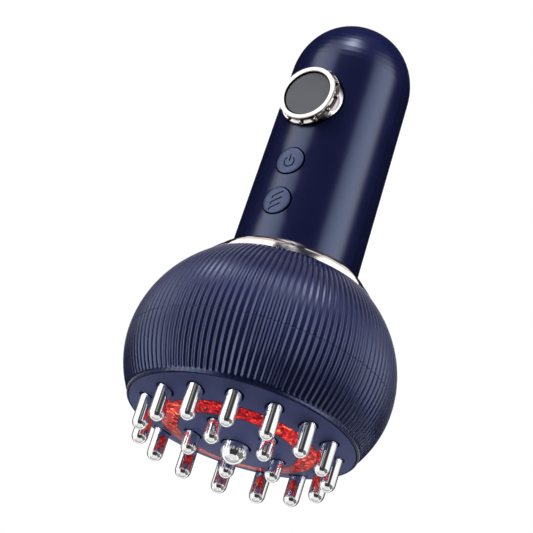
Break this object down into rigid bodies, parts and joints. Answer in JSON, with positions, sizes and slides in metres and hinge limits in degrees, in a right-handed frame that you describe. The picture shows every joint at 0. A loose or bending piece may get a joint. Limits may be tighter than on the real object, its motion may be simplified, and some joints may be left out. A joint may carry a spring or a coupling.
{
  "type": "heated body massage brush",
  "caption": "Hand-held heated massage brush with a ribbed ball head, round-tipped metal pins around a red light ring, a metal collar, and a smooth handle with a dial and two keys.",
  "frame": {"origin": "on the handle's axis, in the plane of the pin tips on which the brush stands", "axes": "+Z along the handle away from the pins; -Y out of the front with the dial and keys; +X to the right seen from the front"},
  "size_m": [0.085, 0.085, 0.1545],
  "materials": {
    "head_plastic": "soft matte navy moulding with fine upright ribs",
    "face_plastic": "smooth matte navy grey moulding",
    "handle_plastic": "satin dark navy, smooth",
    "key_plastic": "matte blue grey with an engraved symbol",
    "light_ring": "clear red moulding that carries the red light",
    "pin_chrome": "polished metal",
    "trim_metal": "polished champagne-coloured plating",
    "window_glass": "smoked window over the display",
    "heater_aluminium": "machined plate",
    "heating_film": "amber polyimide film",
    "circuit_board": "green circuit board with black parts",
    "screw_steel": "zinc-plated steel",
    "bracket_steel": "plain steel",
    "motor_steel": "drawn steel can",
    "weight_brass": "plain brass",
    "gasket_rubber": "black rubber",
    "chassis_plastic": "black moulding",
    "battery_sleeve": "blue shrink sleeve over a metal cell",
    "plunger_plastic": "cream moulding",
    "socket_steel": "plated steel shell",
    "lead_rubber": "red insulated leads"
  },
  "bodies": {
    "brush": {"lower_housing": "head_plastic", "upper_housing": "head_plastic", "face_plate": "face_plastic", "light_ring": "light_ring", "centre_disc": "face_plastic", "outer_pin_01": "pin_chrome", "outer_pin_02": "pin_chrome", "outer_pin_03": "pin_chrome", "outer_pin_04": "pin_chrome", "outer_pin_05": "pin_chrome", "outer_pin_06": "pin_chrome", "outer_pin_07": "pin_chrome", "outer_pin_08": "pin_chrome", "outer_pin_09": "pin_chrome", "outer_pin_10": "pin_chrome", "outer_pin_11": "pin_chrome", "outer_pin_12": "pin_chrome", "outer_pin_13": "pin_chrome", "outer_pin_14": "pin_chrome", "outer_pin_15": "pin_chrome", "inner_pin_1": "pin_chrome", "inner_pin_2": "pin_chrome", "inner_pin_3": "pin_chrome", "inner_pin_4": "pin_chrome", "inner_pin_5": "pin_chrome", "centre_dome": "pin_chrome", "heater_plate": "heater_aluminium", "heating_film": "heating_film", "led_board": "circuit_board", "face_screws": "screw_steel", "face_gasket": "gasket_rubber", "motor_bracket": "bracket_steel", "motor": "motor_steel", "motor_screws": "screw_steel", "bracket_screws": "screw_steel", "collar": "trim_metal", "handle_shell": "handle_plastic", "handle_screws": "screw_steel", "chassis": "chassis_plastic", "battery": "battery_sleeve", "main_board": "circuit_board", "board_screws": "screw_steel", "power_switch": "chassis_plastic", "mode_switch": "chassis_plastic", "dial_base": "trim_metal", "display_holder": "chassis_plastic", "display_board": "circuit_board", "display_window": "window_glass", "charging_socket": "socket_steel", "socket_board": "circuit_board", "wire_harness": "lead_rubber"},
    "rotor": {"motor_shaft": "screw_steel", "eccentric_weight": "weight_brass"},
    "dial": {"dial_ring": "trim_metal", "dial_magnet": "bracket_steel"},
    "power_key": {"power_button": "key_plastic", "power_plunger": "plunger_plastic"},
    "mode_key": {"mode_button": "key_plastic", "mode_plunger": "plunger_plastic"}
  },
  "joints": [
    {"name": "dial_turn", "type": "hinge", "parent": "brush", "child": "dial", "pos_m": [0, -0.0215, 0.1185], "axis": [0, -1, 0], "continuous": true},
    {"name": "power_press", "type": "slide", "parent": "brush", "child": "power_key", "axis": [0, 1, 0], "range_m": [0, 0.0008], "stiffness_N_per_m": 500, "springref_m": -0.002},
    {"name": "mode_press", "type": "slide", "parent": "brush", "child": "mode_key", "axis": [0, 1, 0], "range_m": [0, 0.0008], "stiffness_N_per_m": 500, "springref_m": -0.002},
    {"name": "motor_spin", "type": "hinge", "parent": "brush", "child": "rotor", "pos_m": [0, 0, 0.0225], "axis": [0, 0, 1], "continuous": true}
  ]
}
